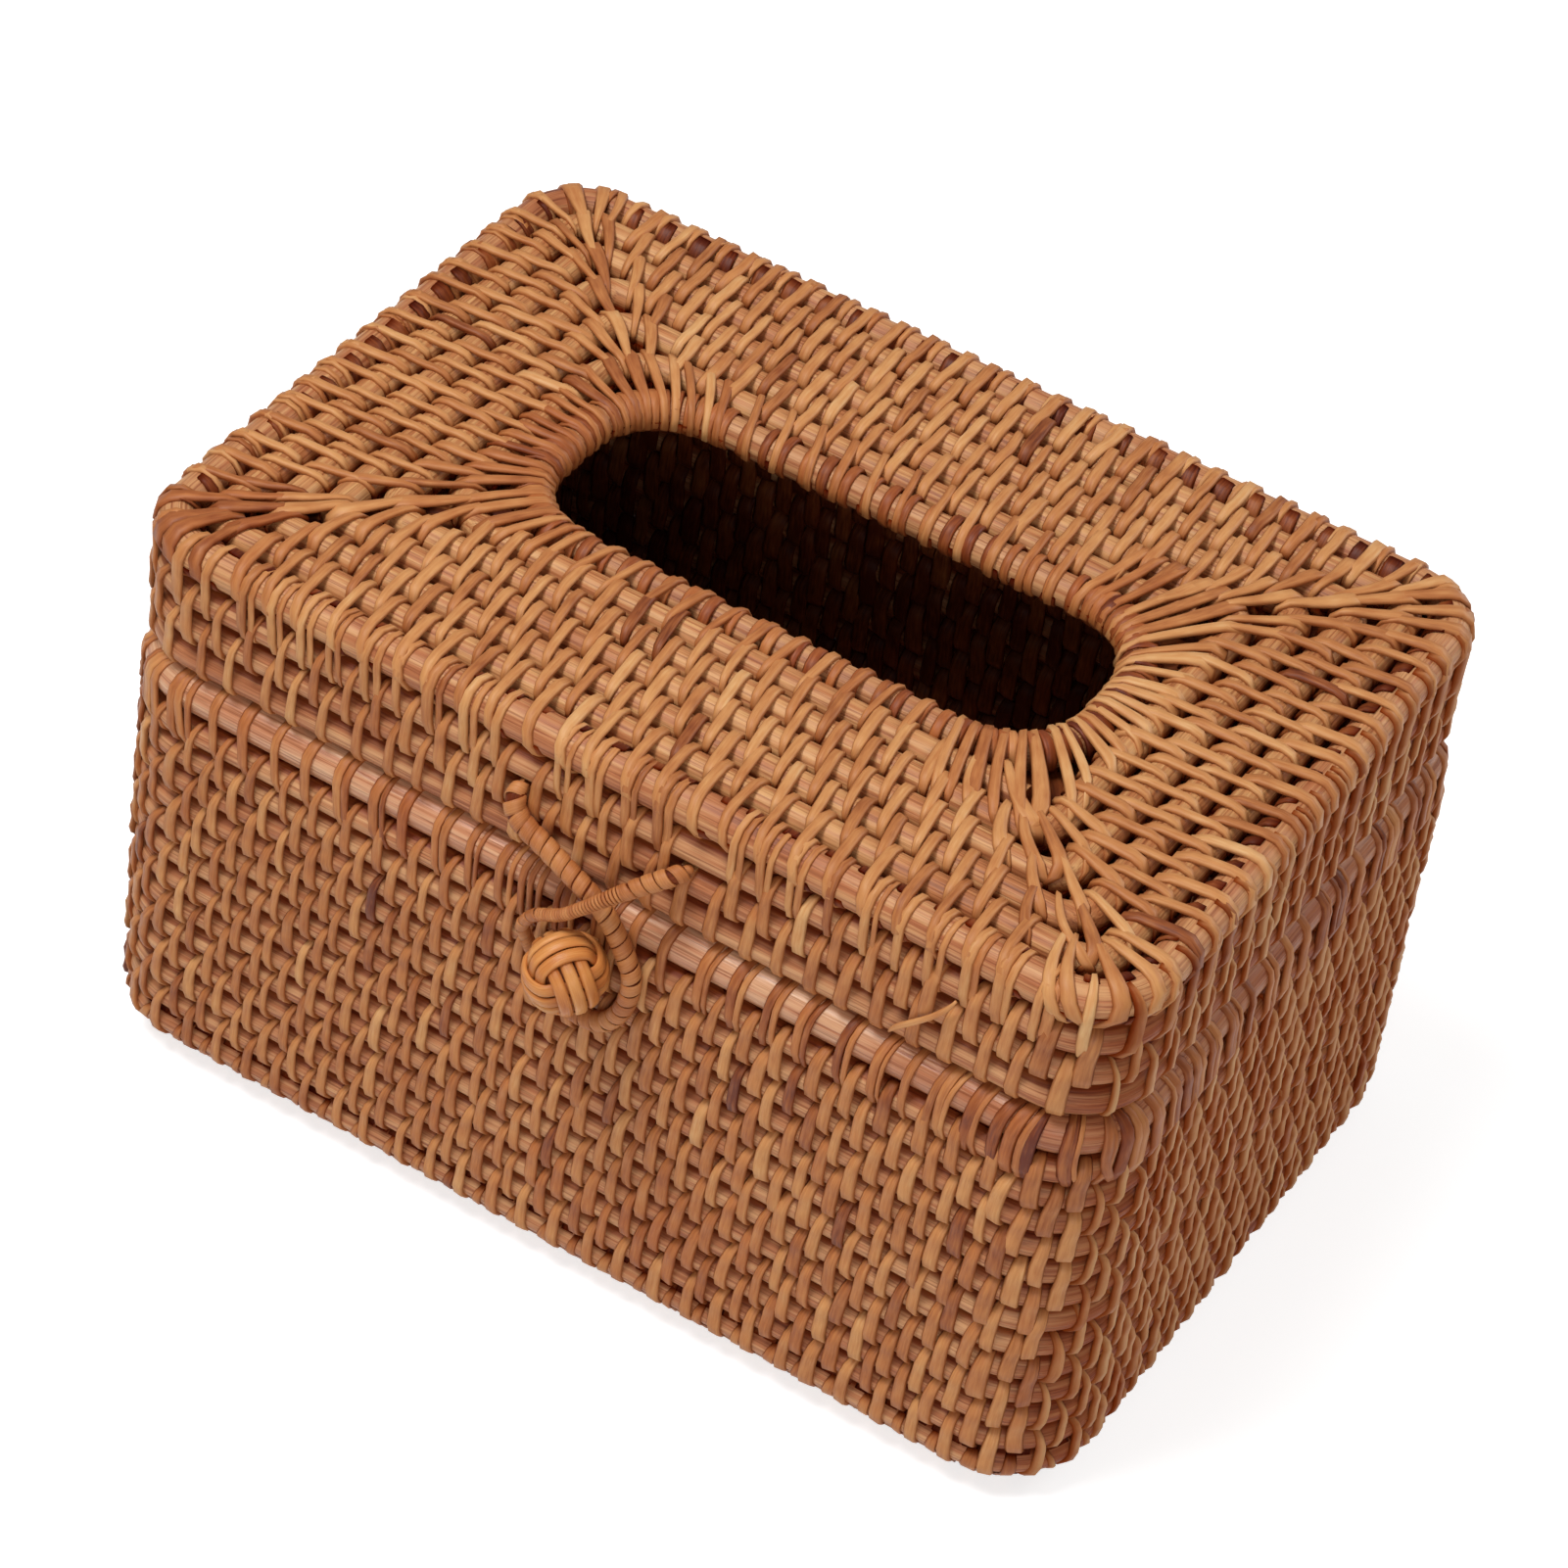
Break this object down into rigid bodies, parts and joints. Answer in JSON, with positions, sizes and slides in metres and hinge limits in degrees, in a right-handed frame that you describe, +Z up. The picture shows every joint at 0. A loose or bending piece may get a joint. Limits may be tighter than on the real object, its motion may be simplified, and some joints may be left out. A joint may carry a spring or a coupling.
{
  "type": "tissue box cover",
  "caption": "Woven rattan tissue box cover: a rectangular coiled box with a hinged lid, a rounded dispensing slot in its top, and a loop-and-knot clasp.",
  "frame": {"origin": "middle of the box on the plane that the base stands on", "axes": "+X along the long side to the right as seen from the clasp, -Y out of the front where the clasp is, +Z up"},
  "size_m": [0.2442, 0.1869, 0.1424],
  "materials": {
    "rattan": "satin natural rattan rod under pinkish brown split-cane binding",
    "slot_rattan": "satin reddish brown cane wound closely round the slot",
    "split_cane": "satin flat split cane",
    "knot_cane": "glossy golden cane strands",
    "loop_cane": "satin cane wound over a cane core"
  },
  "bodies": {
    "body": {"base_coil": "rattan", "wall_rod_01": "rattan", "wall_rod_02": "rattan", "wall_rod_03": "rattan", "wall_rod_04": "rattan", "wall_rod_05": "rattan", "wall_rod_06": "rattan", "wall_rod_07": "rattan", "wall_rod_08": "rattan", "wall_rod_09": "rattan", "wall_rod_10": "rattan", "wall_rod_11": "rattan", "wall_rod_12": "rattan", "wall_rod_13": "rattan", "rim_rod": "rattan", "hinge_lashing_1": "split_cane", "hinge_lashing_2": "split_cane", "hinge_lashing_3": "split_cane", "clasp_knot": "knot_cane", "knot_tail": "split_cane"},
    "lid": {"slot_rod": "slot_rattan", "top_rod_1": "rattan", "top_rod_2": "rattan", "top_rod_3": "rattan", "top_rod_4": "rattan", "top_rod_5": "rattan", "edge_rod": "rattan", "skirt_rod_1": "rattan", "skirt_rod_2": "rattan", "skirt_rod_3": "rattan", "loop_tails": "split_cane"},
    "clasp": {"clasp_loop": "loop_cane"}
  },
  "joints": [
    {"name": "lid_hinge", "type": "hinge", "parent": "body", "child": "lid", "pos_m": [0, 0.0779, 0.11281], "axis": [-1, 0, 0], "range_deg": [0, 95]},
    {"name": "loop_hinge", "type": "hinge", "parent": "lid", "child": "clasp", "pos_m": [0.0009, -0.08255, 0.12511], "axis": [-1, 0, 0], "range_deg": [0, 80]}
  ]
}
